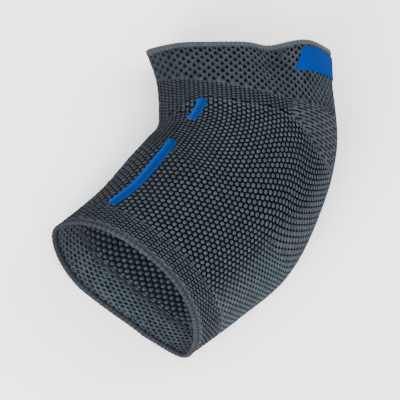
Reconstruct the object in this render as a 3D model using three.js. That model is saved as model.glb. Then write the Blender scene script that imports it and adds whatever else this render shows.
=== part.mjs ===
// Knitted elbow brace, lying on its side, empty and relaxed.
//
// Millimetres, +Z up. The upper arm runs along +Y, the back of the elbow looks to +X, and the
// forearm leaves towards -X and -Y. The brace is a soft tube: it is flattened where it lies, and
// both of its ends stand open. Its knit is one wall, worked in zones: a closer knit at each end,
// an open honeycomb over the elbow, a rolled hem round each opening and two blue ribs.

import * as THREE from "three";
import { mergeVertices } from "three/addons/utils/BufferGeometryUtils.js";

// Length of the tube, measured along the middle of the arm
const UPPER_ARM_LENGTH = 44;
const FOREARM_LENGTH = 70.5;
const BEND_ANGLE = THREE.MathUtils.degToRad(47);
const CROOK_RADIUS = 20;

// Size of the tube across, lying empty
const HALF_WIDTH = 50;
const MOUTH_HEIGHT = 61.5;

// Knit
const KNIT_WALL = 2;
const KNIT_GAP = 0.3;
const UPPER_CUFF_FRONT = 20;
const UPPER_CUFF_BACK = 43;
const FOREARM_CUFF = 19;

// Rolled hems
const UPPER_HEM_HEIGHT = 4.4;
const FOREARM_HEM_HEIGHT = 3;
const HEM_THICKNESS = 2.6;

// Blue ribs on the upper side, beside the crook of the elbow
const RIB_WIDTH = 6.2;
const RIB_THICKNESS = 0.7;
const SHORT_RIB_START = 37;
const SHORT_RIB_END = 54;
const LONG_RIB_LENGTH = 67;
const LONG_RIB_ABOVE_MOUTH = 20.5;

// Woven label, sewn under the upper hem and folded round the back edge
const LABEL_WIDTH = 45;
const LABEL_HEIGHT = 15;
const LABEL_THICKNESS = 0.7;
const LABEL_BELOW_RIM = 5;
const LABEL_OVER_TOP = 35;
const LABEL_SLANT = 4;
const SEWN_GAP = 0.5;

// Slant and dents of the openings
const MOUTH_SLANT = 15.5;
const MOUTH_LIP = 7;
const RIM_BOW = 1.5;
const FLAT_SHARE = 1.12;

// Sections of the tube. along: share of its length. front, back: reach from the middle to the
// crook side and to the back of the elbow, in shares of HALF_WIDTH. height: share of MOUTH_HEIGHT.
// fold: height of the two side folds, as a share of the section's own height. round: 2 is an
// ellipse, less is slacker and more pointed at the folds.
const SECTIONS = [
  { along: 0.0, front: 0.99, back: 1.23, height: 0.59, fold: 0.5, round: 1.55 },
  { along: 0.12, front: 0.91, back: 1.18, height: 0.68, fold: 0.48, round: 1.6 },
  { along: 0.28, front: 0.95, back: 1.15, height: 0.78, fold: 0.45, round: 1.65 },
  { along: 0.45, front: 1.04, back: 1.07, height: 0.85, fold: 0.42, round: 1.7 },
  { along: 0.62, front: 1.06, back: 1.11, height: 0.9, fold: 0.39, round: 1.76 },
  { along: 0.8, front: 1.03, back: 1.02, height: 0.945, fold: 0.36, round: 1.83 },
  { along: 1.0, front: 1.1, back: 0.89, height: 1.0, fold: 0.32, round: 1.9 },
];

// Wave of the slack upper rim. across: share of the half width towards the back. height: change
// of the section's height, as a share. wide, deep: how far it spreads across and along, in shares.
const RIM_WAVES = [
  { across: -0.7, height: 0.17, wide: 0.25, deep: 0.12 },
  { across: 0.33, height: -0.36, wide: 0.16, deep: 0.14 },
  { across: 0.7, height: 0.58, wide: 0.23, deep: 0.12 },
];

// Line of the blue ribs. along: share of the length. round: way from the front fold over the
// upper side, in shares of HALF_WIDTH.
const RIB_LINE = [
  { along: 0.2, round: 0.6 },
  { along: 0.31, round: 0.48 },
  { along: 0.5, round: 0.46 },
  { along: 0.71, round: 0.54 },
  { along: 0.9, round: 0.54 },
];

// Facets
const COLUMNS = 64;
const LABEL_COLUMNS = 26;
const CUFF_ROWS = 4;
const ELBOW_ROWS = 16;
const HEM_CORNERS = 8;
const TAPE_STEPS = 240;
const ROW_SPACING = 5;

const bendRadius = CROOK_RADIUS + sectionNear(0.45).front * HALF_WIDTH;
const bendLength = bendRadius * BEND_ANGLE;
const tubeLength = UPPER_ARM_LENGTH + bendLength + FOREARM_LENGTH;

const knitGrey = new THREE.MeshStandardMaterial({ color: 0x313a3f, roughness: 0.95, metalness: 0 });
const cuffGrey = new THREE.MeshStandardMaterial({ color: 0x3a444b, roughness: 0.95, metalness: 0 });
const hemGrey = new THREE.MeshStandardMaterial({ color: 0x5c666a, roughness: 0.9, metalness: 0 });
const ribBlue = new THREE.MeshStandardMaterial({ color: 0x095ba4, roughness: 0.85, metalness: 0 });
const labelBlue = new THREE.MeshStandardMaterial({ color: 0x025bab, roughness: 0.7, metalness: 0 });

function sectionNear(along) {
  return SECTIONS.reduce((best, row) =>
    Math.abs(row.along - along) < Math.abs(best.along - along) ? row : best);
}

// A smooth value between the rows of a table
function between(table, column, along) {
  const last = table.length - 1;
  const place = THREE.MathUtils.clamp(along, table[0].along, table[last].along);
  let row = 0;
  while (row < last - 1 && place > table[row + 1].along) {
    row += 1;
  }
  const slope = (index) => {
    const before = table[Math.max(index - 1, 0)];
    const after = table[Math.min(index + 1, last)];
    return (after[column] - before[column]) / (after.along - before.along);
  };
  const step = table[row + 1].along - table[row].along;
  const t = (place - table[row].along) / step;
  const rise = table[row + 1][column] - table[row][column];
  const leave = slope(row) * step;
  const arrive = slope(row + 1) * step;
  const curve = leave * t * (1 - t) ** 2 - arrive * t ** 2 * (1 - t);
  return table[row][column] + rise * t ** 2 * (3 - 2 * t) + curve;
}

// Middle of the arm at a distance from the upper rim: straight, round the bend, straight again
function armMiddle(distance) {
  const turn = THREE.MathUtils.clamp((distance - UPPER_ARM_LENGTH) / bendRadius, 0, BEND_ANGLE);
  const upper = Math.min(distance, UPPER_ARM_LENGTH);
  const lower = Math.max(distance - UPPER_ARM_LENGTH - bendLength, 0);
  const backward = new THREE.Vector3(Math.cos(turn), -Math.sin(turn), 0);
  const downward = new THREE.Vector3(-Math.sin(turn), -Math.cos(turn), 0);
  const point = new THREE.Vector3(-bendRadius, -upper, 0)
    .addScaledVector(backward, bendRadius)
    .addScaledVector(downward, lower);
  return { point, backward, downward };
}

function bump(value, middle, wide) {
  return Math.exp(-(((value - middle) / wide) ** 2));
}

// A point of the wall. distance: from the upper rim. angle: round the tube, 0 at the back fold,
// a quarter turn on top, half a turn at the front fold. inset: below the outer face.
function wallPoint(distance, angle, inset) {
  const along = distance / tubeLength;
  const { point, backward, downward } = armMiddle(distance);
  const across = Math.cos(angle);
  const upperSide = Math.sin(angle) >= 0;
  const lift = Math.abs(Math.sin(angle)) ** (2 / between(SECTIONS, "round", along));
  const height = between(SECTIONS, "height", along) * MOUTH_HEIGHT;
  const fold = between(SECTIONS, "fold", along) * height;
  const reach = between(SECTIONS, across < 0 ? "front" : "back", along) * HALF_WIDTH;
  let z = Math.max(0, fold - FLAT_SHARE * (fold - inset) * lift);
  if (upperSide) {
    let wave = 1;
    for (const { across: middle, height: change, wide, deep } of RIM_WAVES) {
      wave += change * bump(across, middle, wide) * bump(along, 0, deep);
    }
    z = fold + (height - fold - inset) * lift * wave;
  } else {
    z = Math.max(z, Math.min(inset, fold));
  }
  const nearRim = THREE.MathUtils.clamp(1 - along / 0.35, 0, 1);
  const nearMouth = THREE.MathUtils.clamp((along - 0.55) / 0.45, 0, 1) ** 1.5;
  let slide = -MOUTH_SLANT * nearMouth * (z - fold) / height;
  if (upperSide) {
    slide += RIM_BOW * nearRim * (1 - across ** 2);
  } else {
    slide -= MOUTH_LIP * nearMouth * across * (1 - across ** 2);
  }
  return point
    .addScaledVector(backward, (reach - inset) * across)
    .addScaledVector(downward, slide)
    .setZ(z);
}

// Angle that lies some way round the outside, as a tape laid from the front fold over the top
function angleRound(distance, way) {
  let before = wallPoint(distance, Math.PI, 0);
  let length = 0;
  for (let step = 1; step <= TAPE_STEPS; step += 1) {
    const angle = Math.PI - 2 * Math.PI * step / TAPE_STEPS;
    const here = wallPoint(distance, angle, 0);
    const piece = here.distanceTo(before);
    if (length + piece >= way) {
      return angle + 2 * Math.PI / TAPE_STEPS * (1 - (way - length) / piece);
    }
    length += piece;
    before = here;
  }
  return -Math.PI;
}

// Length of the tape from the front fold over the top to the back fold
function tapeToBack(distance) {
  let before = wallPoint(distance, Math.PI, 0);
  let length = 0;
  for (let step = 1; step <= TAPE_STEPS / 2; step += 1) {
    const here = wallPoint(distance, Math.PI - 2 * Math.PI * step / TAPE_STEPS, 0);
    length += here.distanceTo(before);
    before = here;
  }
  return length;
}

// Lower edge of the upper cuff: short at the crook, longer at the back of the elbow
function upperCuffEdge(angle) {
  const turn = Math.abs(Math.cos(angle / 2));
  const share = (turn + turn ** 2) / 2;
  return UPPER_CUFF_FRONT + (UPPER_CUFF_BACK - UPPER_CUFF_FRONT) * share;
}

function closedGeometry(positions, indices) {
  const geometry = new THREE.BufferGeometry();
  geometry.setAttribute("position", new THREE.Float32BufferAttribute(positions, 3));
  geometry.setIndex(indices);
  const merged = mergeVertices(geometry, 1e-4);
  merged.computeVertexNormals();
  return merged;
}

// A ring of wall: its section, as pairs of distance and inset, is carried round the tube
function ringGeometry(sectionAt) {
  const positions = [];
  const indices = [];
  let corners = 0;
  for (let column = 0; column < COLUMNS; column += 1) {
    const angle = 2 * Math.PI * column / COLUMNS;
    const section = sectionAt(angle);
    corners = section.length;
    for (const [distance, inset] of section) {
      positions.push(...wallPoint(distance, angle, inset).toArray());
    }
  }
  for (let column = 0; column < COLUMNS; column += 1) {
    const next = (column + 1) % COLUMNS;
    for (let corner = 0; corner < corners; corner += 1) {
      const follow = (corner + 1) % corners;
      const a = column * corners + corner;
      const b = column * corners + follow;
      const c = next * corners + follow;
      const d = next * corners + corner;
      indices.push(a, c, b, a, d, c);
    }
  }
  return closedGeometry(positions, indices);
}

// A knitted band between two edges: outer face down, inner face back up
function knitSection(start, end, rows) {
  const section = [];
  for (let row = 0; row <= rows; row += 1) {
    section.push([start + (end - start) * row / rows, 0]);
  }
  for (let row = rows; row >= 0; row -= 1) {
    section.push([start + (end - start) * row / rows, KNIT_WALL]);
  }
  return section;
}

function hemSection(start, end) {
  const section = [];
  for (let corner = 0; corner < HEM_CORNERS; corner += 1) {
    const turn = 2 * Math.PI * (corner + 0.5) / HEM_CORNERS;
    const distance = (start + end) / 2 - (end - start) / 2 * Math.cos(turn);
    section.push([distance, KNIT_WALL / 2 - HEM_THICKNESS / 2 * Math.sin(turn)]);
  }
  return section;
}

// A strip sewn or knitted onto the outside: a thin box, bent over the wall. wayAt(distance, share)
// is the tape's length from the front fold to the strip's left edge, 0, or right edge, 1.
function stripGeometry(start, end, wayAt, columns, thickness) {
  const rows = Math.ceil((end - start) / ROW_SPACING);
  const box = new THREE.BoxGeometry(1, 1, 1, columns, rows, 1);
  const corner = box.getAttribute("position");
  const positions = [];
  for (let index = 0; index < corner.count; index += 1) {
    const distance = start + (end - start) * (0.5 - corner.getY(index));
    const angle = angleRound(distance, wayAt(distance, 0.5 + corner.getX(index)));
    const inset = -SEWN_GAP - thickness * (0.5 + corner.getZ(index));
    positions.push(...wallPoint(distance, angle, inset).toArray());
  }
  return closedGeometry(positions, Array.from(box.getIndex().array));
}

function ribGeometry(start, end) {
  const wayAt = (distance, share) => {
    const middle = between(RIB_LINE, "round", distance / tubeLength) * HALF_WIDTH;
    return middle + (share - 0.5) * RIB_WIDTH;
  };
  return stripGeometry(start, end, wayAt, 3, RIB_THICKNESS);
}

function labelGeometry() {
  const wayAt = (distance, share) => {
    const slant = LABEL_SLANT * ((distance - LABEL_BELOW_RIM) / LABEL_HEIGHT - 0.5);
    return tapeToBack(distance) - LABEL_OVER_TOP - slant + share * LABEL_WIDTH;
  };
  return stripGeometry(LABEL_BELOW_RIM, LABEL_BELOW_RIM + LABEL_HEIGHT, wayAt, LABEL_COLUMNS, LABEL_THICKNESS);
}

function piece(name, geometry, material) {
  const mesh = new THREE.Mesh(geometry, material);
  mesh.name = name;
  return mesh;
}

const cuffStart = UPPER_HEM_HEIGHT + KNIT_GAP;
const forearmHemStart = tubeLength - FOREARM_HEM_HEIGHT;
const cuffEnd = forearmHemStart - KNIT_GAP;
const forearmCuffStart = tubeLength - FOREARM_CUFF;
const longRibEnd = tubeLength - LONG_RIB_ABOVE_MOUTH;

const brace = new THREE.Group();
brace.add(
  piece("upper_hem", ringGeometry(() => hemSection(0, UPPER_HEM_HEIGHT)), hemGrey),
  piece("upper_cuff", ringGeometry((angle) =>
    knitSection(cuffStart, upperCuffEdge(angle), CUFF_ROWS)), cuffGrey),
  piece("elbow_knit", ringGeometry((angle) =>
    knitSection(upperCuffEdge(angle) + KNIT_GAP, forearmCuffStart - KNIT_GAP, ELBOW_ROWS)), knitGrey),
  piece("forearm_cuff", ringGeometry(() =>
    knitSection(forearmCuffStart, cuffEnd, CUFF_ROWS)), cuffGrey),
  piece("forearm_hem", ringGeometry(() => hemSection(forearmHemStart, tubeLength)), hemGrey),
  piece("short_rib", ribGeometry(SHORT_RIB_START, SHORT_RIB_END), ribBlue),
  piece("long_rib", ribGeometry(longRibEnd - LONG_RIB_LENGTH, longRibEnd), ribBlue),
  piece("label", labelGeometry(), labelBlue),
);

// The origin is under the middle of the brace, on the surface that it lies on
const box = new THREE.Box3().setFromObject(brace);
const middle = box.getCenter(new THREE.Vector3());
brace.position.set(-middle.x, -middle.y, -box.min.z);

export default brace;
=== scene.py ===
"""Looks of a knitted elbow brace that lies empty on its side.

The tube's form is the CAD model's, worked out from the same sizes. Its knit is modelled stitch by
stitch: a honeycomb lattice of small cells is laid round the tube, and each cell is raised as a dot
or sunk as a gap. Form sizes are in millimetres, as in the CAD model; meshes are in metres.
"""

import math

import bpy
import numpy as np
from bpy.props import (
    FloatProperty,
    FloatVectorProperty,
    IntProperty,
    PointerProperty,
)
from mathutils import Matrix, Vector


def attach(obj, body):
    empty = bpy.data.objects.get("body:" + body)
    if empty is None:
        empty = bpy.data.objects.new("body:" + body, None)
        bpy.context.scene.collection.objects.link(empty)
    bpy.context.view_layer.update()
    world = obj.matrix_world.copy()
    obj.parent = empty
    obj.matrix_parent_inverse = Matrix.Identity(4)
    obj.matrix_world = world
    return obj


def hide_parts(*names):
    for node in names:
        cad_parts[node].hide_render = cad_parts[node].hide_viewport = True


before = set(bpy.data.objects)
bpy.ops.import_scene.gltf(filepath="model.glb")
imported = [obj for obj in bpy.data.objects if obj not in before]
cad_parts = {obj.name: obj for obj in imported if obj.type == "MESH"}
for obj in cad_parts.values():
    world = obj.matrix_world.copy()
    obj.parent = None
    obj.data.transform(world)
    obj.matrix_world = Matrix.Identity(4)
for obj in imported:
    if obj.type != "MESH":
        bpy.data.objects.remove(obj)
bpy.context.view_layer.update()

bl_info = {
    "name": "Knitted Elbow Brace",
    "version": (1, 0, 0),
    "blender": (4, 5, 0),
    "location": "View3D > Sidebar > Elbow Brace",
    "description": "Makes a knitted elbow brace lying on its side, with its studio",
    "category": "Object",
}

MILLIMETRE = 0.001

# Tube, as in the CAD model
UPPER_ARM_LENGTH = 44.0
FOREARM_LENGTH = 70.5
BEND_ANGLE = math.radians(47)
CROOK_RADIUS = 20.0
HALF_WIDTH = 50.0
MOUTH_HEIGHT = 61.5
KNIT_WALL = 2.0
UPPER_CUFF_FRONT = 20.0
UPPER_CUFF_BACK = 43.0
FOREARM_CUFF = 19.0
UPPER_HEM_HEIGHT = 4.4
FOREARM_HEM_HEIGHT = 3.0
HEM_THICKNESS = 2.6
HEM_CORNERS = 8
COLUMNS = 64
MOUTH_SLANT = 15.5
MOUTH_LIP = 7.0
RIM_BOW = 1.5
FLAT_SHARE = 1.12

# Sections: along, front, back, height, fold, round
SECTIONS = np.array([
    (0.0, 0.99, 1.23, 0.59, 0.5, 1.55),
    (0.12, 0.91, 1.18, 0.68, 0.48, 1.6),
    (0.28, 0.95, 1.15, 0.78, 0.45, 1.65),
    (0.45, 1.04, 1.07, 0.85, 0.42, 1.7),
    (0.62, 1.06, 1.11, 0.9, 0.39, 1.76),
    (0.8, 1.03, 1.02, 0.945, 0.36, 1.83),
    (1.0, 1.1, 0.89, 1.0, 0.32, 1.9),
])
FRONT, BACK, HEIGHT, FOLD, ROUND = range(1, 6)

# Waves of the slack upper rim: across, change of height, wide, deep
RIM_WAVES = (
    (-0.7, 0.17, 0.25, 0.12),
    (0.33, -0.36, 0.16, 0.14),
    (0.70, 0.58, 0.23, 0.12),
)

BEND_RADIUS = CROOK_RADIUS + SECTIONS[3, FRONT] * HALF_WIDTH
BEND_LENGTH = BEND_RADIUS * BEND_ANGLE
TUBE_LENGTH = UPPER_ARM_LENGTH + BEND_LENGTH + FOREARM_LENGTH

# Blue ribs and label, as in the CAD model
RIB_WIDTH = 6.2
RIB_COUNT = 3
RIB_BASE = 0.15
RIB_RISE = 1.0
RIB_ROUND_END = 1.2
RIB_SUNK = 0.35
RIB_SKEW = 1.5
SHORT_RIB = (37.0, 54.0)
LONG_RIB = (86.0, 153.0)
RIB_LINE = np.array([
    (0.2, 0.6),
    (0.31, 0.48),
    (0.5, 0.46),
    (0.71, 0.54),
    (0.9, 0.54),
])
LABEL_WIDTH = 45.0
LABEL_HEIGHT = 15.0
LABEL_THICKNESS = 0.7
LABEL_BELOW_RIM = 5.0
LABEL_OVER_TOP = 35.0
LABEL_SLANT = 4.0
LABEL_GAP = 0.05
# The label's pressed hem: how far in its groove lies, how wide and how deep it is
LABEL_HEM = (1.1, 0.45, 0.12)

# Knit. Way round is 0 at the front fold, 1 at the back fold over the top, 2 at the front again.
WALES = 96
# Share of the wales, way round
WALE_SPREAD = np.array([
    (0.0, 0.0),
    (0.33, 0.65),
    (0.552, 1.0),
    (0.7, 1.3),
    (1.0, 2.0),
])
CUFF_COURSE = 4.7
FINE_COURSES = 17
OPEN_COURSES = 34
FOREARM_COURSES = 7
# The knit starts under the hem, at this share of the hem's height
HEM_COVER = 0.8
# Each ring of knit starts this far up under the ring above it, so that no light passes
RING_OVERLAP = 0.25
# A cell that starts nearer a ring's edge than this share of a course is left out
LEAST_CELL = 0.3
# Relief of the inner face, as a share of the outer one's
INNER_RELIEF = 0.8
# The inner face of the knit stays this far above the ground
INNER_REST = 0.4
# Backness at which the gore's long slits start
GORE_START = 0.64
# Edge between the fine courses and the open honeycomb: backness, share of the length
FINE_EDGE = np.array([
    (0.0, 0.3),
    (0.1, 0.24),
    (0.2, 0.21),
    (0.33, 0.222),
    (0.45, 0.245),
    (0.57, 0.262),
    (0.69, 0.295),
    (0.78, 0.34),
    (0.86, 0.36),
    (1.0, 0.375),
])

# Stitch coordinates are scaled so that a stitch's edges lie about 1 from its middle
STITCH_SCALE = np.array([1.74, 1.97])

# What a stitch shows, each as a share. dot: raised, with a gap all round. pit: a hole in a net.
# slit: crossed by a slit, above its middle at -1 and below it at 1. rib: closed to the
# sides. dash: flat and wide. pair: two bars side by side. tint: paler or darker yarn. crook: how
# near the front fold, where plum yarn and painted shade show.
STITCH_KINDS = ("dot", "pit", "slit", "rib", "dash", "pair", "tint", "crook")

# How each kind is raised: reach across and along of a ring, and its height as a share of the
# gap's depth, then the heights of the corners and of the middle
KIND_FORMS = {
    "dot": ((0.8, 0.8, -0.12), (0.5, 0.5, 0.1), -1.0, 0.16),
    "pit": ((0.72, 0.66, 0.0), (0.45, 0.4, -0.9), 0.05, -1.0),
    "slit": ((0.8, 0.8, 0.0), (0.5, 0.4, -0.2), -0.1, -0.35),
    "rib": ((0.85, 0.8, 0.0), (0.5, 0.5, 0.08), -0.4, 0.1),
    "dash": ((0.85, 0.75, 0.0), (0.5, 0.4, 0.06), -0.4, 0.08),
    "pair": ((0.8, 0.8, -0.05), (0.5, 0.55, 0.1), -0.7, 0.0),
    "plain": ((0.8, 0.8, 0.0), (0.5, 0.5, 0.05), -0.15, 0.08),
}

# Noise of loose fibres, and of a stitch's ragged edge: how fine it is, detail, roughness
FIBRES = (2600.0, 3.0, 0.65)
RAGGED_EDGE = (1000.0, 2.0, 0.6)

# Camera: where it looks from the tube's own frame, and how it stands
CAMERA_AIM = (-28.5, -90.2, 21.9)
CAMERA_AZIMUTH = math.radians(-45.33)
CAMERA_ELEVATION = math.radians(66.21)
CAMERA_ROLL = math.radians(41.54)
CAMERA_DISTANCE = 1000.0
FRAME_WIDTH = 220.0
SENSOR = 36.0

# Soft lights: place, aim, size, share of the main light's power
LIGHTS = {
    "key_light": ((-1.0, -0.95, 0.85), (0, 0, 0), 0.9, 1.0),
    "side_light": ((1.0, 0.5, 0.9), (0, 0, 0), 1.0, 0.5),
    "mouth_light": ((-0.8, -0.8, 0.3), (0, 0, 0.03), 0.5, 0.8),
}
SKY_LIGHT = 2.4


class KnitSizes(bpy.types.PropertyGroup):
    """Heights of the knit's relief"""

    gap_depth: FloatProperty(
        name="Gap depth", description="How deep the gap between two stitches is",
        default=0.00085, unit="LENGTH", precision=5)
    unevenness: FloatProperty(
        name="Unevenness", description="How far single stitches differ in height",
        default=0.00005, unit="LENGTH", precision=5)
    seed: IntProperty(
        name="Seed", description="Which set of uneven stitches is knitted", default=7)


class YarnColours(bpy.types.PropertyGroup):
    """Colours of the yarns, of the label and of the painted shade between the stitches"""

    slate: FloatVectorProperty(
        name="Slate yarn", description="Main yarn, where the light meets it",
        subtype="COLOR", size=3, default=(0.0250, 0.0320, 0.0380))
    # Beside the crook: partly the plum yarn, partly painted shade on that side
    plum_and_shade: FloatVectorProperty(
        name="Plum yarn", description="Duller yarn that shows beside the crook",
        subtype="COLOR", size=3, default=(0.0115, 0.0112, 0.0155))
    # Painted shade in the gaps and holes between the stitches, set as a yarn colour
    gap_shade: FloatVectorProperty(
        name="Dark yarn", description="Elastic ground between the stitches",
        subtype="COLOR", size=3, default=(0.0003, 0.0016, 0.0028))
    hem: FloatVectorProperty(
        name="Hem yarn", description="Rolled hems",
        subtype="COLOR", size=3, default=(0.049, 0.056, 0.064))
    blue: FloatVectorProperty(
        name="Blue yarn", description="The two ribs beside the crook",
        subtype="COLOR", size=3, default=(0.0001, 0.0190, 0.1100))
    label: FloatVectorProperty(
        name="Label", description="Woven label",
        subtype="COLOR", size=3, default=(0.0001, 0.0190, 0.1200))


class StudioSizes(bpy.types.PropertyGroup):
    """Floor and light of the studio"""

    floor_size: FloatProperty(
        name="Floor", description="Side of the floor", default=6.0, unit="LENGTH")
    light: FloatProperty(
        name="Light", description="Strength of the main light", default=36.0,
        unit="POWER")


def clamp(value, low, high):
    return np.minimum(np.maximum(value, low), high)


def smooth_step(value, low, high):
    """0 at low, 1 at high, smooth and clamped"""
    share = clamp((value - low) / (high - low), 0.0, 1.0)
    return share * share * (3 - 2 * share)


def between(table, column, place):
    """A smooth value between the rows of a table whose first column rises"""
    stations = table[:, 0]
    values = table[:, column]
    last = len(stations) - 1
    place = clamp(place, stations[0], stations[last])
    before = np.maximum(np.arange(last + 1) - 1, 0)
    after = np.minimum(np.arange(last + 1) + 1, last)
    slopes = (values[after] - values[before]) / (stations[after] - stations[before])
    row = clamp(np.searchsorted(stations, place) - 1, 0, last - 1)
    step = stations[row + 1] - stations[row]
    t = (place - stations[row]) / step
    rise = values[row + 1] - values[row]
    leave = slopes[row] * step
    arrive = slopes[row + 1] * step
    curve = leave * t * (1 - t) ** 2 - arrive * t ** 2 * (1 - t)
    return values[row] + rise * t ** 2 * (3 - 2 * t) + curve


def bump(value, middle, wide):
    """1 at the middle, falling away on both sides"""
    return np.exp(-(((value - middle) / wide) ** 2))


def wall_point(distance, angle, inset):
    """Points of the wall, in the tube's frame. distance: from the upper rim. angle: 0 at the
    back fold, a quarter turn on top, half a turn at the front fold. inset: below the outside."""
    distance, angle, inset = np.broadcast_arrays(distance, angle, inset)
    along = distance / TUBE_LENGTH
    turn = clamp((distance - UPPER_ARM_LENGTH) / BEND_RADIUS, 0, BEND_ANGLE)
    upper = np.minimum(distance, UPPER_ARM_LENGTH)
    lower = np.maximum(distance - UPPER_ARM_LENGTH - BEND_LENGTH, 0)
    backward = np.stack([np.cos(turn), -np.sin(turn)], -1)
    downward = np.stack([-np.sin(turn), -np.cos(turn)], -1)
    middle = np.stack([np.full_like(upper, -BEND_RADIUS), -upper], -1)
    middle = middle + backward * BEND_RADIUS + downward * lower[..., None]
    across = np.cos(angle)
    upper_side = np.sin(angle) >= 0
    lift = np.abs(np.sin(angle)) ** (2 / between(SECTIONS, ROUND, along))
    height = between(SECTIONS, HEIGHT, along) * MOUTH_HEIGHT
    fold = between(SECTIONS, FOLD, along) * height
    reach = np.where(across < 0, between(SECTIONS, FRONT, along), between(SECTIONS, BACK, along))
    reach = reach * HALF_WIDTH
    wave = 1.0
    for centre, change, wide, deep in RIM_WAVES:
        wave = wave + change * bump(across, centre, wide) * bump(along, 0, deep)
    top = fold + (height - fold - inset) * lift * wave
    under = np.maximum(0, fold - FLAT_SHARE * (fold - inset) * lift)
    under = np.maximum(under, np.minimum(inset, fold))
    z = np.where(upper_side, top, under)
    near_rim = clamp(1 - along / 0.35, 0, 1)
    near_mouth = clamp((along - 0.55) / 0.45, 0, 1) ** 1.5
    bow = 1 - across ** 2
    slide = -MOUTH_SLANT * near_mouth * (z - fold) / height
    slide = slide + np.where(
        upper_side, RIM_BOW * near_rim * bow, -MOUTH_LIP * near_mouth * across * bow)
    flat = middle + backward * ((reach - inset) * across)[..., None] + downward * slide[..., None]
    return np.concatenate([flat, z[..., None]], -1)


def wall_normal(distance, angle, inset):
    """Outward directions of the wall, from small steps along it and round it"""
    step_along = 0.4
    step_round = 0.02
    before = wall_point(distance - step_along, angle, inset)
    after = wall_point(distance + step_along, angle, inset)
    left = wall_point(distance, angle + step_round, inset)
    right = wall_point(distance, angle - step_round, inset)
    normal = np.cross(after - before, right - left)
    return normal / np.linalg.norm(normal, axis=-1, keepdims=True)


def tape_table():
    """Angles at even ways round the tube, and the tube's girth, at even distances"""
    half = 360
    distances = np.linspace(0, TUBE_LENGTH, 161)
    angles = np.linspace(np.pi, -np.pi, 2 * half + 1)
    points = wall_point(distances[:, None], angles[None, :], 0.0)
    steps = np.linalg.norm(np.diff(points, axis=1), axis=2)
    ways = np.linspace(0, 2, 513)
    table = np.zeros((len(distances), len(ways)))
    girths = np.zeros((len(distances), 2))
    for row, pieces in enumerate(steps):
        over = np.concatenate([[0], np.cumsum(pieces[:half])])
        under = np.concatenate([[0], np.cumsum(pieces[half:])])
        girths[row] = over[-1], under[-1]
        tape = np.concatenate([over / over[-1], 1 + under[1:] / under[-1]])
        table[row] = np.interp(ways, tape, angles)
    return table, girths


TAPE, GIRTHS = tape_table()


def angle_at(distance, way):
    """Angle of a way round the tube, by the tape table"""
    row = clamp(distance / TUBE_LENGTH, 0, 1) * (TAPE.shape[0] - 1)
    column = np.mod(way, 2.0) / 2 * (TAPE.shape[1] - 1)
    low_row = clamp(np.floor(row).astype(int), 0, TAPE.shape[0] - 2)
    low_column = clamp(np.floor(column).astype(int), 0, TAPE.shape[1] - 2)
    down = row - low_row
    right = column - low_column
    first, second = (
        TAPE[line, low_column] * (1 - right) + TAPE[line, low_column + 1] * right
        for line in (low_row, low_row + 1))
    return first * (1 - down) + second * down


def over_girth(distance):
    """Length of the tape over the top, from fold to fold"""
    return np.interp(distance, np.linspace(0, TUBE_LENGTH, len(GIRTHS)), GIRTHS[:, 0])


def hem_ring(start, end):
    """Corner points of a rolled hem, as the CAD model has them"""
    turn = 2 * np.pi * (np.arange(HEM_CORNERS) + 0.5) / HEM_CORNERS
    angle = 2 * np.pi * np.arange(COLUMNS) / COLUMNS
    distance = (start + end) / 2 - (end - start) / 2 * np.cos(turn)
    inset = KNIT_WALL / 2 - HEM_THICKNESS / 2 * np.sin(turn)
    return wall_point(distance[:, None], angle[None, :], inset[:, None]).reshape(-1, 3)


def tube_centre():
    """Middle of the tube's box, which the CAD model puts over the origin"""
    upper = hem_ring(0, UPPER_HEM_HEIGHT)
    forearm = hem_ring(TUBE_LENGTH - FOREARM_HEM_HEIGHT, TUBE_LENGTH)
    hems = np.concatenate([upper, forearm])
    centre = (hems.min(0) + hems.max(0)) / 2
    return np.array([centre[0], centre[1], 0.0])


CENTRE = tube_centre()


def to_world(points):
    """Tube's frame in millimetres to the model's frame in metres"""
    return (points - CENTRE) * MILLIMETRE


def upper_cuff_edge(angle):
    """Lower edge of the upper cuff: short at the crook, long at the back"""
    turn = np.abs(np.cos(angle / 2))
    share = (turn + turn ** 2) / 2
    return UPPER_CUFF_FRONT + (UPPER_CUFF_BACK - UPPER_CUFF_FRONT) * share


def backness(way):
    """0 at the front fold, 1 at the back fold, over the top or underneath"""
    return 1 - np.abs(1 - np.mod(way, 2.0))


def wale_way(wale):
    """Way round of a wale: they lie closer at the back of the elbow"""
    share = wale / WALES
    turns = np.floor(share)
    return between(WALE_SPREAD, 1, share - turns) + 2 * turns


def cuff_distance(course, way):
    """Courses of the upper cuff run level with the rim"""
    return UPPER_HEM_HEIGHT * HEM_COVER + CUFF_COURSE * course


def cuff_edge(way):
    """Distance of the cuff's lower edge"""
    return upper_cuff_edge(np.pi * (1 - way))


def fine_edge(way):
    """Distance of the fine courses' lower edge"""
    return between(FINE_EDGE, 1, backness(way)) * TUBE_LENGTH


def fine_pitch(way):
    """Height of a fine course: taller at the crook and before the gore than between them"""
    back = backness(way)
    at_crook = 1 - smooth_step(back, 0, 0.18)
    before_gore = bump(back, 0.55, 0.12)
    return 1.45 + 0.5 * at_crook + 0.6 * before_gore


def fine_distance(course, way):
    """Fine courses follow the cuff's lower edge"""
    return cuff_edge(way) - RING_OVERLAP + fine_pitch(way) * course


def open_distance(course, way):
    """Courses of the honeycomb lie closer under the gore at the back than by the forearm"""
    start = fine_edge(way) - RING_OVERLAP
    end = TUBE_LENGTH - FOREARM_CUFF
    share = course / OPEN_COURSES
    crowded = 0.3 * smooth_step(backness(way), 0.15, 0.75)
    return start + (end - start) * share * (1 - crowded * (1 - share))


def forearm_distance(course, way):
    """Courses of the forearm cuff run level with its opening"""
    start = TUBE_LENGTH - FOREARM_CUFF
    end = TUBE_LENGTH - FOREARM_HEM_HEIGHT * HEM_COVER
    return start + (end - start) * course / FOREARM_COURSES


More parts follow.
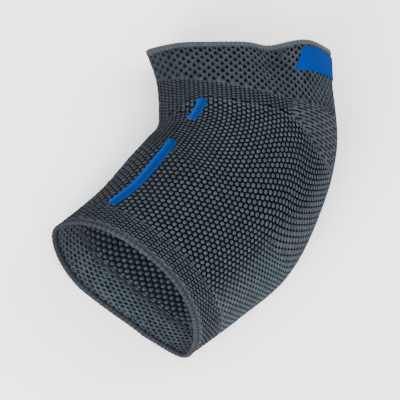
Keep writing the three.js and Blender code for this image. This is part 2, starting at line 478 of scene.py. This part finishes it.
class Lattice:
    """A honeycomb of cells round the tube: wales along x, courses along y. A corner of a cell
    is shared by the three cells that meet there. keep(wale, course) leaves cells out."""

    def __init__(self, courses, keep=None):
        wale, level = np.meshgrid(np.arange(WALES), np.arange(2 * courses + 1), indexing="ij")
        there = (wale + level) % 2 == 1
        if keep is not None:
            there &= keep(wale, level / 2)
        wale = wale[there]
        level = level[there]
        self.wale = wale
        self.level = level
        top = 2 * courses
        up = np.minimum(level + 1, top)
        down = np.maximum(level - 1, 0)
        one = np.ones_like(wale)
        corner_wale = np.stack([wale, wale + 1, wale, wale, wale - 1, wale], 1)
        corner_side = np.stack([one, -one, one, -one, one, -one], 1)
        corner_level = np.stack([up, level, down, down, level, up], 1)
        corners = np.stack([corner_wale + corner_side / 3, corner_level / 2], -1)
        middle = clamp(level / 2, 0.25, courses - 0.25)
        self.centres = np.stack([wale.astype(float), middle], 1)
        self.spread = corners - self.centres[:, None, :]
        key = (corner_level * WALES + np.mod(corner_wale, WALES)) * 2 + (corner_side > 0)
        unique, first, index = np.unique(key, return_index=True, return_inverse=True)
        self.index = index.reshape(key.shape)
        self.corners = corners.reshape(-1, 2)[first]
        self.rim = self.open_edges(len(unique))

    def open_edges(self, count):
        """Pairs of corners that only one cell has, in that cell's own order"""
        start = self.index.ravel()
        end = np.roll(self.index, -1, 1).ravel()
        alone = ~np.isin(start * count + end, end * count + start)
        return np.stack([start[alone], end[alone]], 1)


def knit_layer(lattice, distance_of, shape_of, outward, trim=None):
    """One face of the knit: its points, faces and where each face corner lies in its stitch.
    trim(way) draws the lattice's lower rim out to an edge."""
    rings = ("shoulder", "crown") if outward else ("shoulder",)
    cells = len(lattice.centres)
    corners = len(lattice.corners)
    centre_way = wale_way(lattice.centres[:, 0])
    centre_distance = distance_of(lattice.centres[:, 1], centre_way)
    shape = shape_of(lattice, centre_way, centre_distance / TUBE_LENGTH, outward)
    weight = np.bincount(lattice.index.ravel(), minlength=corners)
    corner_rise = np.bincount(lattice.index.ravel(), weights=np.repeat(shape["corner"], 6))
    spots = [lattice.corners]
    rises = [corner_rise / weight]
    local = [lattice.spread]
    index = [lattice.index]
    for ring in rings:
        inner = lattice.spread * shape[ring][:, None, :2]
        spots.append((lattice.centres[:, None, :] + inner).reshape(-1, 2))
        rises.append(np.repeat(shape[ring][:, 2], 6))
        local.append(inner)
        index.append(index[-1].max() + 1 + np.arange(6 * cells).reshape(cells, 6))
    spots = np.concatenate([*spots, lattice.centres])
    rises = np.concatenate([*rises, shape["centre"]])
    way = wale_way(spots[:, 0])
    distance = distance_of(spots[:, 1], way)
    if trim is not None:
        rim = np.unique(lattice.rim)
        rim = rim[lattice.corners[rim, 1] > 0]
        distance[rim] = trim(way[rim])
        distance = np.minimum(distance, trim(way))
    angle = angle_at(distance, way)
    inset = 0.0 if outward else KNIT_WALL
    points = wall_point(distance, angle, inset)
    normals = wall_normal(distance, angle, inset)
    points = points + normals * (rises if outward else -rises)[:, None]
    points[:, 2] = np.maximum(points[:, 2], 0.0 if outward else INNER_REST)
    middle = index[-1].max() + 1 + np.arange(cells)
    quads, quad_spots, tris, tri_spots = [], [], [], []
    for side in range(6):
        follow = (side + 1) % 6
        for outer, inner, far, near in zip(index, index[1:], local, local[1:]):
            quads.append(np.stack(
                [outer[:, side], outer[:, follow], inner[:, follow], inner[:, side]], 1))
            quad_spots.append(np.stack(
                [far[:, side], far[:, follow], near[:, follow], near[:, side]], 1))
        tris.append(np.stack([index[-1][:, side], index[-1][:, follow], middle], 1))
        tri_spots.append(np.stack(
            [local[-1][:, side], local[-1][:, follow], np.zeros((cells, 2))], 1))
    quads, quad_spots, tris, tri_spots = map(
        np.concatenate, (quads, quad_spots, tris, tri_spots))
    if not outward:
        quads, quad_spots, tris, tri_spots = (
            table[:, ::-1] for table in (quads, quad_spots, tris, tri_spots))
    kinds = {
        name: np.concatenate([
            np.repeat(np.tile(shape[name], 6 * len(rings)), 4),
            np.repeat(np.tile(shape[name], 6), 3)])
        for name in STITCH_KINDS
    }
    return {
        "points": points, "quads": quads, "tris": tris, "kinds": kinds,
        "spots": np.concatenate([quad_spots.reshape(-1, 2), tri_spots.reshape(-1, 2)]),
    }


def make_mesh(name, points, quads, tris=None, spots=None):
    """A smooth mesh object at the origin, from points in metres. spots are the stitch
    coordinates of the face corners, quads first."""
    tris = np.zeros((0, 3), int) if tris is None else tris
    mesh = bpy.data.meshes.new(name)
    mesh.vertices.add(len(points))
    mesh.vertices.foreach_set("co", points.astype(np.float32).ravel())
    loops = np.concatenate([quads.ravel(), tris.ravel()]).astype(np.int32)
    mesh.loops.add(len(loops))
    mesh.loops.foreach_set("vertex_index", loops)
    sizes = np.concatenate([np.full(len(quads), 4), np.full(len(tris), 3)])
    starts = np.concatenate([[0], np.cumsum(sizes)[:-1]]).astype(np.int32)
    mesh.polygons.add(len(sizes))
    mesh.polygons.foreach_set("loop_start", starts)
    mesh.update(calc_edges=True)
    if spots is not None:
        layer = mesh.uv_layers.new(name="stitch")
        layer.data.foreach_set("uv", spots.astype(np.float32).ravel())
    mesh.polygons.foreach_set("use_smooth", np.ones(len(sizes), bool))
    piece = bpy.data.objects.new(name, mesh)
    bpy.context.scene.collection.objects.link(piece)
    return piece


def knit_piece(name, lattice, distance_of, shape_of, trim=None):
    """A knitted ring of wall, with stitches on its outside and inside"""
    outer = knit_layer(lattice, distance_of, shape_of, True, trim)
    inner = knit_layer(lattice, distance_of, shape_of, False, trim)
    shift = len(outer["points"])
    start, end = lattice.rim.T
    bridge = np.stack([end, start, start + shift, end + shift], 1)
    quads = np.concatenate([outer["quads"], inner["quads"] + shift, bridge])
    tris = np.concatenate([outer["tris"], inner["tris"] + shift])

    def joined(outer_values, inner_values, edge):
        cut_outer = 4 * len(outer["quads"])
        cut_inner = 4 * len(inner["quads"])
        return np.concatenate([
            outer_values[:cut_outer], inner_values[:cut_inner], edge,
            outer_values[cut_outer:], inner_values[cut_inner:]])

    spots = joined(outer["spots"], inner["spots"], np.zeros((4 * len(bridge), 2)))
    points = to_world(np.concatenate([outer["points"], inner["points"]]))
    piece = make_mesh(name, points, quads, tris, spots * STITCH_SCALE)
    for kind in STITCH_KINDS:
        values = joined(outer["kinds"][kind], inner["kinds"][kind], np.zeros(4 * len(bridge)))
        layer = piece.data.attributes.new(kind, "FLOAT", "CORNER")
        layer.data.foreach_set("value", values.astype(np.float32))
    return piece


def knit_shape(sizes, kinds_of):
    """A shape_of for knit_layer: kinds_of gives the shares of the kinds of stitch"""
    deep = sizes.gap_depth / MILLIMETRE
    uneven = sizes.unevenness / MILLIMETRE
    chance = np.random.default_rng(sizes.seed)

    def shape_of(lattice, way, along, outward):
        count = len(way)
        shape = {name: np.zeros(count) for name in STITCH_KINDS}
        shape.update(kinds_of(lattice, way, along, outward))
        shape["tint"] = clamp(0.5 + 0.25 * chance.normal(0, 1, count), 0, 1)
        shape["crook"] = 1 - smooth_step(backness(way), 0.0, 0.4)
        shares = {name: np.abs(shape[name]) for name in KIND_FORMS if name in shape}
        shares["plain"] = clamp(1 - sum(shares.values()), 0, 1)
        height = deep if outward else deep * INNER_RELIEF
        uneven_rise = uneven * chance.normal(0, 1, count)
        for place, ring in enumerate(("shoulder", "crown")):
            shape[ring] = sum(
                share[:, None] * np.array(KIND_FORMS[name][place])
                for name, share in shares.items())
            shape[ring][:, 2] = shape[ring][:, 2] * height + uneven_rise
        shape["corner"] = height * sum(
            share * KIND_FORMS[name][2] for name, share in shares.items())
        shape["centre"] = uneven_rise + height * sum(
            share * KIND_FORMS[name][3] for name, share in shares.items())
        return shape

    return shape_of


def long_slits(lattice):
    """Slits over three of every four neighbours, level with the courses and staggered"""
    plain = np.mod(lattice.wale + 2 * (lattice.level // 2), 4) == 3
    return np.where(plain, 0.0, np.where(lattice.wale % 2 == 0, -1.0, 1.0))


def cuff_kinds(lattice, way, along, outward):
    """A net of pits, closer beside the crook"""
    open_share = 0.8 + 0.2 * smooth_step(backness(way), 0.05, 0.3)
    return {"pit": open_share * (1.0 if outward else 0.6)}


def fine_kinds(lattice, way, along, outward):
    """Bricks, rounder towards the back, and long slits over the back of the elbow"""
    back = backness(way)
    gore = (back > GORE_START) * 1.0
    round_share = 0.6 + 0.2 * smooth_step(back, 0.3, 0.5)
    return {
        "dash": (1 - round_share) * (1 - gore), "dot": round_share * (1 - gore),
        "slit": long_slits(lattice) * gore}


def open_kinds(lattice, way, along, outward):
    """Raised dots, which close up to ribs along the back"""
    back = backness(way)
    start = 0.8 - 0.1 * smooth_step(along, 0.4, 0.6)
    rib = smooth_step(back - start, 0.0, 0.14)
    near = 0.5 * smooth_step(-back, -0.16, 0.0)
    rib = clamp(rib + near, 0, 1)
    share = 1.0 if outward else 0.75
    return {"dot": (1 - rib) * share, "rib": rib * share}


def forearm_kinds(lattice, way, along, outward):
    """Paired bars outside and a net of pits inside, then a plain rim"""
    course = lattice.centres[:, 1]
    rim = smooth_step(course, FOREARM_COURSES - 1.4, FOREARM_COURSES - 1.0)
    if outward:
        return {"pair": 1 - rim, "dash": 0.8 * rim}
    ladder = bump(course, 0.75, 0.35)
    return {"pit": (1 - ladder) * (1 - 0.3 * rim) * (course > 0.4), "pair": ladder}


class Socket:
    """A shader socket that Python operators work on"""

    def __init__(self, maker, socket):
        self.maker = maker
        self.socket = socket

    def math(self, operation, *others):
        return self.maker.add("ShaderNodeMath", {"operation": operation}, (self, *others))

    def __add__(self, other):
        return self.math("ADD", other)

    def __radd__(self, other):
        return self.math("ADD", other)

    def __sub__(self, other):
        return self.math("SUBTRACT", other)

    def __rsub__(self, other):
        return self.maker.add("ShaderNodeMath", {"operation": "SUBTRACT"}, (other, self))

    def __mul__(self, other):
        return self.math("MULTIPLY", other)

    def __rmul__(self, other):
        return self.math("MULTIPLY", other)

    def __truediv__(self, other):
        return self.math("DIVIDE", other)

    def __pow__(self, other):
        return self.math("POWER", other)

    def absolute(self):
        return self.math("ABSOLUTE")

    def sine(self):
        return self.math("SINE")

    def between(self, low, high):
        """0 at low, 1 at high, smooth and clamped"""
        return self.maker.add(
            "ShaderNodeMapRange", {"interpolation_type": "SMOOTHSTEP"}, (self, low, high, 0.0, 1.0))


class Finish:
    """A material, built up node by node"""

    def __init__(self, name):
        self.material = bpy.data.materials.new(name)
        self.material.use_nodes = True
        self.tree = self.material.node_tree
        self.shader = self.tree.nodes["Principled BSDF"]

    def put(self, target, value):
        if isinstance(value, Socket):
            self.tree.links.new(value.socket, target)
        elif value is not None:
            target.default_value = value

    def add(self, kind, settings=None, inputs=(), output=0):
        """A node of a kind, its settings first, then its inputs in order or by name"""
        node = self.tree.nodes.new(kind)
        for key, value in (settings or {}).items():
            setattr(node, key, value)
        pairs = inputs.items() if isinstance(inputs, dict) else enumerate(inputs)
        for key, value in pairs:
            self.put(node.inputs[key], value)
        return Socket(self, node.outputs[output])

    def place(self):
        return self.add("ShaderNodeTexCoord", output="Object")

    def attribute(self, name):
        return self.add("ShaderNodeAttribute", {"attribute_name": name}, output="Fac")

    def stitch(self):
        """Where a point lies in its stitch: across and along, 0 at the middle"""
        spot = self.add("ShaderNodeUVMap", {"uv_map": "stitch"})
        across = self.add("ShaderNodeSeparateXYZ", inputs=(spot,), output="X")
        along = self.add("ShaderNodeSeparateXYZ", inputs=(spot,), output="Y")
        return across, along

    def noise(self, scale, detail=2.0, rough=0.5):
        return self.add(
            "ShaderNodeTexNoise",
            inputs={"Vector": self.place(), "Scale": scale, "Detail": detail, "Roughness": rough},
            output="Fac")

    def mix(self, share, first, second):
        return self.add(
            "ShaderNodeMix", {"data_type": "RGBA"}, {0: share, 6: first, 7: second}, output=2)

    def raised(self, height, distance, strength=1.0):
        return self.add(
            "ShaderNodeBump",
            inputs={"Height": height, "Distance": distance, "Strength": strength},
            output="Normal")

    def surface(self, colour, roughness, normal=None, sheen=0.0):
        self.put(self.shader.inputs["Base Color"], colour)
        self.put(self.shader.inputs["Roughness"], roughness)
        self.put(self.shader.inputs["Normal"], normal)
        self.put(self.shader.inputs["Sheen Weight"], sheen)
        self.put(self.shader.inputs["Sheen Roughness"], 0.5)
        self.put(self.shader.inputs["Specular IOR Level"], 0.02)
        return self.material


def shade(colour, factor):
    return (colour[0] * factor, colour[1] * factor, colour[2] * factor, 1.0)


def knit_finish(name, colours, light, legs):
    """Heathered knit: painted shade fills the gaps between the stitches, and the two legs of each
    stitch are a fine relief. light brightens the yarn, and legs is how much the legs darken it."""
    finish = Finish(name)
    dot, pit, slit, rib, dash, pair, tint, crook = (
        finish.attribute(kind) for kind in STITCH_KINDS)
    across, along = finish.stitch()
    aside = across.absolute()
    ahead = along.absolute()
    reach = (across * across + along * along) ** 0.5
    ragged = finish.noise(*RAGGED_EDGE) - 0.5
    hole = (across * across * 1.3 + along * along * 4.5) ** 0.5 + (tint - 0.5) * 0.2 + ragged * 1.6
    line = (along - slit * 0.49).absolute()
    eye = (1 - reach.between(0.05, 0.3)) * 0.55
    dot_gap = (reach + ragged * 0.5).between(0.5, 0.8) + eye
    pit_gap = 1 - hole.between(0.55, 0.9)
    slit_gap = 1 - line.between(0.2, 0.6)
    rib_gap = ahead.between(0.35, 0.75) * (1 - aside.between(0.7, 1.2))
    dash_gap = aside.between(0.45, 1.0) * 0.6 + ahead.between(0.4, 1.0) * 0.9
    pair_gap = aside.between(0.5, 0.85) + (ahead + ragged * 0.6).between(0.4, 0.8)
    pair_gap = pair_gap + (1 - aside.between(0.0, 0.25)) * 0.6
    gap = dot * dot_gap + pit * pit_gap + slit * slit * slit_gap + rib * rib_gap
    gap = (gap + dash * dash_gap + pair * pair_gap) * (1 - crook * 0.2)
    gap = gap.between(0.0, 1.0)
    leg = ((aside * 5.0 - along * 3.5).sine() + ragged * 2.0).between(-0.8, 0.4)
    fibre = finish.noise(*FIBRES)
    heather = finish.noise(190.0, 2.0, 0.6)
    yarn = finish.mix(
        heather.between(0.35, 0.65), shade(colours.slate, light * 0.82),
        shade(colours.slate, light * 1.16))
    # Beside the crook the yarn turns plum and darker, and its legs darken it more: partly plum
    # yarn, partly painted shade
    yarn = finish.mix(crook * 0.85, yarn, shade(colours.plum_and_shade, light))
    leg_share = crook * (0.85 - legs) + legs
    yarn = finish.mix(leg * leg_share, yarn, shade(colours.slate, light * 0.2))
    yarn = finish.mix(tint * fibre * 0.35, yarn, shade(colours.slate, light * 1.9))
    # Painted shade fills the gaps, the holes and the middle of each dot
    colour = finish.mix(gap, yarn, shade(colours.gap_shade, 1.0))
    normal = finish.raised((1 - gap) * 0.6 + leg * 0.25 + fibre * 0.2, 0.0004, 0.8)
    return finish.surface(colour, 0.92, normal, sheen=0.03)


def hem_finish(name, colours, light, sheen, ribs):
    """Fine plain knit with narrow ribs, plum and darker by the front fold: partly plum yarn, partly
    painted shade. light brightens the yarn, and ribs is the painted shade in the furrows between
    ribs."""
    finish = Finish(name)
    across, along = finish.stitch()
    rib = (across * (2 * math.pi)).sine() * 0.5 + 0.5
    rows = (along * (2 * math.pi)).sine() * 0.5 + 0.5
    fibre = finish.noise(*FIBRES)
    heather = finish.noise(150.0, 2.0, 0.6)
    yarn = finish.mix(
        heather.between(0.3, 0.7), shade(colours.hem, light * 0.8),
        shade(colours.hem, light * 1.15))
    # By the front fold the hem turns plum and darker: partly plum yarn, partly painted shade
    front_reach = 20.0
    front = 1 - across.between(0.0, front_reach) * (1 - across.between(WALES - front_reach, WALES))
    yarn = finish.mix(front * 0.6, yarn, shade(colours.plum_and_shade, light * 1.6))
    # The furrows between ribs and between rows are darkened: painted shade
    yarn = finish.mix((1 - rib) * ribs, yarn, shade(colours.hem, light * 0.3))
    yarn = finish.mix((1 - rows) * 0.25, yarn, shade(colours.hem, light * 0.5))
    normal = finish.raised(rib * 0.6 + rows * 0.3 + fibre * 0.3, 0.0002, 0.7)
    return finish.surface(yarn, 0.9, normal, sheen)


def blue_finish(colours):
    """Blue yarn in small v stitches along each rib"""
    finish = Finish("blue_yarn_finish")
    across, along = finish.stitch()
    leg = (across.absolute() * 5.0 + along * (2 * math.pi)).sine() * 0.5 + 0.5
    fibre = finish.noise(*FIBRES)
    yarn = finish.mix(leg, shade(colours.blue, 1.2), shade(colours.blue, 1.9))
    yarn = finish.mix(across.absolute().between(0.35, 0.5) * 0.6, yarn, shade(colours.blue, 0.5))
    normal = finish.raised(leg * 0.7 + fibre * 0.3, 0.00015, 0.7)
    return finish.surface(yarn, 0.85, normal)


def label_finish(colours):
    """Satin weave: fine diagonal floats"""
    finish = Finish("label_cloth_finish")
    across, along = finish.stitch()
    warp = (across * 9.0).sine() * 0.5 + 0.5
    weft = (along * 15.0 + across * 3.0).sine() * 0.5 + 0.5
    fibre = finish.noise(1800.0, 2.0, 0.6)
    yarn = finish.mix(weft * 0.6, shade(colours.label, 1.1), shade(colours.label, 0.7))
    yarn = finish.mix(fibre.between(0.55, 0.8) * 0.3, yarn, shade(colours.label, 1.5))
    normal = finish.raised(warp * 0.4 + weft * 0.6, 0.00008, 0.6)
    return finish.surface(yarn, 0.85, normal)


def dress(piece, material, slot, *nodes):
    """Finish, body and the CAD nodes that a piece stands for. slot is not used."""
    piece.data.materials.append(material)
    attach(piece, "root")
    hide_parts(*nodes)


def rolled_hem(name, start, end):
    """A rolled welt round an opening, with a shallow rib at each wale"""
    steps_per_wale = 6
    corners = 14
    rib_height = 0.05
    steps_round = WALES * steps_per_wale
    turn = 2 * np.pi * np.arange(corners) / corners
    wale = np.arange(steps_round) / steps_per_wale
    way = wale_way(wale)
    rib = 1 + rib_height * np.cos(2 * np.pi * wale)
    distance = (start + end) / 2 - (end - start) / 2 * np.cos(turn)[:, None] * rib[None, :]
    inset = KNIT_WALL / 2 - HEM_THICKNESS / 2 * np.sin(turn)[:, None] * rib[None, :]
    angle = angle_at(distance, np.broadcast_to(way, distance.shape))
    points = wall_point(distance, angle, inset)
    points[..., 2] = np.maximum(points[..., 2], 0.0)
    index = np.arange(corners * steps_round).reshape(corners, steps_round)
    quads = np.stack([
        index, np.roll(index, -1, 1), np.roll(np.roll(index, -1, 0), -1, 1),
        np.roll(index, -1, 0)], -1).reshape(-1, 4)
    row = np.arange(corners) / 2
    spots = np.stack([
        np.stack(np.broadcast_arrays(
            wale[None, :] + right / steps_per_wale, row[:, None] + down / 2), -1)
        for right, down in ((0, 0), (1, 0), (1, 1), (0, 1))], 2).reshape(-1, 4, 2)
    return make_mesh(
        name, to_world(points.reshape(-1, 3)), quads[:, ::-1],
        spots=spots[:, ::-1].reshape(-1, 2))


def strip(name, start, end, way_at, rows, columns, height_at, gap, skew=0.0):
    """A closed strip, gap above the wall: way_at(distance, share) lays it, height_at(share,
    along) gives its top over its base, and its ends slope by skew"""
    share, along = np.meshgrid(np.linspace(0, 1, columns + 1), np.linspace(0, 1, rows + 1))
    distance = start + (end - start) * along + skew * (share - 0.5)
    way = way_at(distance, share)
    angle = angle_at(distance, way)
    top = wall_point(distance, angle, 0.0)
    normal = wall_normal(distance, angle, 0.0)
    upper = top + normal * (gap + height_at(share, along))[..., None]
    under = top + normal * gap
    count = (rows + 1) * (columns + 1)
    index = np.arange(count).reshape(rows + 1, columns + 1)
    face = np.stack([index[:-1, :-1], index[1:, :-1], index[1:, 1:], index[:-1, 1:]], -1)
    face = face.reshape(-1, 4)
    rim = np.concatenate([index[0, :-1], index[:-1, -1], index[-1, :0:-1], index[:0:-1, 0]])
    follow = np.roll(rim, -1)
    side = np.stack([rim, follow, follow + count, rim + count], 1)
    quads = np.concatenate([face, face[:, ::-1] + count, side])
    points = to_world(np.concatenate([upper.reshape(-1, 3), under.reshape(-1, 3)]))
    local = np.stack([share, along * (end - start)], -1).reshape(-1, 2)
    local = np.concatenate([local, local])
    return make_mesh(name, points, quads, spots=local[quads].reshape(-1, 2))


def rib_strip(name, span):
    """Three raised blue ribs side by side, with rounded stepped ends"""
    def way_at(distance, share):
        middle = between(RIB_LINE, 1, distance / TUBE_LENGTH) * HALF_WIDTH
        return (middle + (share - 0.5) * RIB_WIDTH) / over_girth(distance)

    def height_at(share, along):
        rib = np.abs(np.sin(RIB_COUNT * np.pi * share)) ** 0.6
        end = np.minimum(along, 1 - along) * length
        return RIB_BASE + RIB_RISE * rib * clamp(end / RIB_ROUND_END, 0, 1) ** 0.5

    length = span[1] - span[0]
    row_height = 0.6
    rows = int(length / row_height)
    columns = 8 * RIB_COUNT
    return strip(name, *span, way_at, rows, columns, height_at, -RIB_SUNK, RIB_SKEW)


def label_strip(name):
    """A thin woven label with a pressed hem, folded round the back edge"""
    def way_at(distance, share):
        slant = LABEL_SLANT * ((distance - LABEL_BELOW_RIM) / LABEL_HEIGHT - 0.5)
        over = over_girth(distance)
        start = over - LABEL_OVER_TOP - slant
        length = start + share * LABEL_WIDTH
        return np.where(length < over, length / over, 1 + (length - over) / over)

    def height_at(share, along):
        side = np.minimum(share, 1 - share) * LABEL_WIDTH
        end = np.minimum(along, 1 - along) * LABEL_HEIGHT
        edge = np.minimum(side, end)
        inward, wide, deep = LABEL_HEM
        groove = deep * bump(edge, inward, wide)
        return LABEL_THICKNESS * clamp(edge / 0.5, 0.25, 1) - groove

    end = LABEL_BELOW_RIM + LABEL_HEIGHT
    rows = 40
    columns = 100
    return strip(name, LABEL_BELOW_RIM, end, way_at, rows, columns, height_at, LABEL_GAP)


class BRACE_OT_upper_cuff(bpy.types.Operator):
    """Knit the close cuff under the upper hem"""

    bl_idname = "brace.upper_cuff"
    bl_label = "Upper Cuff"

    def execute(self, context):
        def inside(wale, course):
            way = wale_way(wale)
            return cuff_distance(course, way) < cuff_edge(way) - CUFF_COURSE * LEAST_CELL

        lattice = Lattice(math.ceil(UPPER_CUFF_BACK / CUFF_COURSE), inside)
        shape_of = knit_shape(context.scene.brace_knit, cuff_kinds)
        piece = knit_piece("upper_cuff_knit", lattice, cuff_distance, shape_of, cuff_edge)
        material = knit_finish("cuff_knit_finish", context.scene.brace_colours, 0.88, 0.85)
        dress(piece, material, "cuff_knit", "upper_cuff")
        return {"FINISHED"}


class BRACE_OT_elbow_knit(bpy.types.Operator):
    """Knit the fine courses under the cuff and the open honeycomb over the elbow"""

    bl_idname = "brace.elbow_knit"
    bl_label = "Elbow Knit"

    def execute(self, context):
        def inside(wale, course):
            way = wale_way(wale)
            return fine_distance(course, way) < fine_edge(way) - fine_pitch(way) * LEAST_CELL

        sizes = context.scene.brace_knit
        colours = context.scene.brace_colours
        fine = knit_piece(
            "elbow_fine_knit", Lattice(FINE_COURSES, inside), fine_distance,
            knit_shape(sizes, fine_kinds), fine_edge)
        material = knit_finish("fine_knit_finish", colours, 1.1, 0.4)
        dress(fine, material, "honeycomb_knit", "elbow_knit")
        piece = knit_piece(
            "elbow_honeycomb", Lattice(OPEN_COURSES), open_distance,
            knit_shape(sizes, open_kinds))
        material = knit_finish("honeycomb_knit_finish", colours, 1.3, 0.3)
        dress(piece, material, "honeycomb_knit", "elbow_knit")
        return {"FINISHED"}


class BRACE_OT_forearm_cuff(bpy.types.Operator):
    """Knit the close cuff at the forearm opening"""

    bl_idname = "brace.forearm_cuff"
    bl_label = "Forearm Cuff"

    def execute(self, context):
        piece = knit_piece(
            "forearm_cuff_knit", Lattice(FOREARM_COURSES), forearm_distance,
            knit_shape(context.scene.brace_knit, forearm_kinds))
        material = knit_finish("forearm_knit_finish", context.scene.brace_colours, 1.4, 0.5)
        dress(piece, material, "cuff_knit", "forearm_cuff")
        return {"FINISHED"}


class BRACE_OT_hems(bpy.types.Operator):
    """Roll the hems of both openings"""

    bl_idname = "brace.hems"
    bl_label = "Hems"

    def execute(self, context):
        colours = context.scene.brace_colours
        upper = rolled_hem("upper_rolled_hem", 0, UPPER_HEM_HEIGHT)
        material = hem_finish("upper_hem_finish", colours, 0.72, 0.12, 0.3)
        dress(upper, material, "hem_yarn", "upper_hem")
        start = TUBE_LENGTH - FOREARM_HEM_HEIGHT
        forearm = rolled_hem("forearm_rolled_hem", start, TUBE_LENGTH)
        # The forearm hem is the hem yarn painted darker than the upper hem: painted shade at the
        # mouth
        material = hem_finish("forearm_hem_finish", colours, 0.44, 0.0, 0.6)
        dress(forearm, material, "hem_yarn", "forearm_hem")
        return {"FINISHED"}


class BRACE_OT_blue_ribs(bpy.types.Operator):
    """Knit the two blue ribs beside the crook"""

    bl_idname = "brace.blue_ribs"
    bl_label = "Blue Ribs"

    def execute(self, context):
        material = blue_finish(context.scene.brace_colours)
        dress(rib_strip("short_blue_rib", SHORT_RIB), material, "blue_yarn", "short_rib")
        dress(rib_strip("long_blue_rib", LONG_RIB), material, "blue_yarn", "long_rib")
        return {"FINISHED"}


class BRACE_OT_label(bpy.types.Operator):
    """Sew on the plain woven label"""

    bl_idname = "brace.label"
    bl_label = "Label"

    def execute(self, context):
        piece = label_strip("plain_label")
        dress(piece, label_finish(context.scene.brace_colours), "label_cloth", "label")
        return {"FINISHED"}


def camera_axes():
    """Back, right and up of the camera"""
    azimuth, elevation, roll = CAMERA_AZIMUTH, CAMERA_ELEVATION, CAMERA_ROLL
    back = Vector((
        math.sin(azimuth) * math.cos(elevation), -math.cos(azimuth) * math.cos(elevation),
        math.sin(elevation)))
    level_right = Vector((0, 0, 1)).cross(back).normalized()
    level_up = back.cross(level_right)
    right = math.cos(roll) * level_right + math.sin(roll) * level_up
    up = -math.sin(roll) * level_right + math.cos(roll) * level_up
    return back, right, up


def soft_light(name, place, aim, size, power):
    """A round lamp that looks from its place at its aim"""
    light = bpy.data.lights.new(name, "AREA")
    light.shape = "DISK"
    light.size = size
    light.energy = power
    lamp = bpy.data.objects.new(name, light)
    bpy.context.scene.collection.objects.link(lamp)
    lamp.location = place
    lamp.rotation_euler = (Vector(aim) - Vector(place)).to_track_quat("-Z", "Y").to_euler()


class BRACE_OT_studio(bpy.types.Operator):
    """Set the pale floor, the soft light and the camera"""

    bl_idname = "brace.studio"
    bl_label = "Studio"

    def execute(self, context):
        sizes = context.scene.brace_studio
        bpy.ops.mesh.primitive_plane_add(size=sizes.floor_size, location=(0, 0, 0))
        floor = context.object
        floor.name = "floor"
        finish = Finish("floor_finish")
        grain = finish.noise(3.0, 2.0, 0.5)
        pale = finish.mix(grain, (0.86, 0.86, 0.86, 1), (0.9, 0.9, 0.9, 1))
        floor.data.materials.append(finish.surface(pale, 0.9))
        world = bpy.data.worlds.new("studio")
        world.use_nodes = True
        sky = world.node_tree.nodes["Background"]
        sky.inputs["Color"].default_value = (1, 1, 1, 1)
        sky.inputs["Strength"].default_value = SKY_LIGHT
        context.scene.world = world
        for name, (place, aim, size, share) in LIGHTS.items():
            soft_light(name, place, aim, size, sizes.light * share)
        back, right, up = camera_axes()
        aim = Vector(to_world(np.array(CAMERA_AIM)))
        camera = bpy.data.cameras.new("camera")
        camera.sensor_width = SENSOR
        camera.lens = SENSOR * CAMERA_DISTANCE / FRAME_WIDTH
        camera.clip_start = 0.05
        viewer = bpy.data.objects.new("camera", camera)
        context.scene.collection.objects.link(viewer)
        turn = Matrix((right, up, back)).transposed().to_4x4()
        viewer.matrix_world = Matrix.Translation(aim + back * CAMERA_DISTANCE * MILLIMETRE) @ turn
        context.scene.camera = viewer
        return {"FINISHED"}


class BRACE_PT_panel(bpy.types.Panel):
    """Sizes, colours and pieces of the brace"""

    bl_idname = "BRACE_PT_panel"
    bl_label = "Elbow Brace"
    bl_space_type = "VIEW_3D"
    bl_region_type = "UI"
    bl_category = "Elbow Brace"

    def draw(self, context):
        for group in (
            context.scene.brace_knit, context.scene.brace_colours, context.scene.brace_studio,
        ):
            for name in group.__annotations__:
                self.layout.prop(group, name)
        for operator in OPERATORS:
            self.layout.operator(operator.bl_idname)


OPERATORS = (
    BRACE_OT_studio,
    BRACE_OT_upper_cuff,
    BRACE_OT_elbow_knit,
    BRACE_OT_forearm_cuff,
    BRACE_OT_hems,
    BRACE_OT_blue_ribs,
    BRACE_OT_label,
)
CLASSES = (KnitSizes, YarnColours, StudioSizes, *OPERATORS, BRACE_PT_panel)


def register():
    for item in CLASSES:
        bpy.utils.register_class(item)
    bpy.types.Scene.brace_knit = PointerProperty(type=KnitSizes)
    bpy.types.Scene.brace_colours = PointerProperty(type=YarnColours)
    bpy.types.Scene.brace_studio = PointerProperty(type=StudioSizes)


def unregister():
    del bpy.types.Scene.brace_knit
    del bpy.types.Scene.brace_colours
    del bpy.types.Scene.brace_studio
    for item in reversed(CLASSES):
        bpy.utils.unregister_class(item)


def main():
    register()
    bpy.ops.object.select_all(action="DESELECT")
    bpy.ops.brace.studio()
    bpy.ops.brace.upper_cuff()
    bpy.ops.brace.elbow_knit()
    bpy.ops.brace.forearm_cuff()
    bpy.ops.brace.hems()
    bpy.ops.brace.blue_ribs()
    bpy.ops.brace.label()


if __name__ == "__main__":
    main()
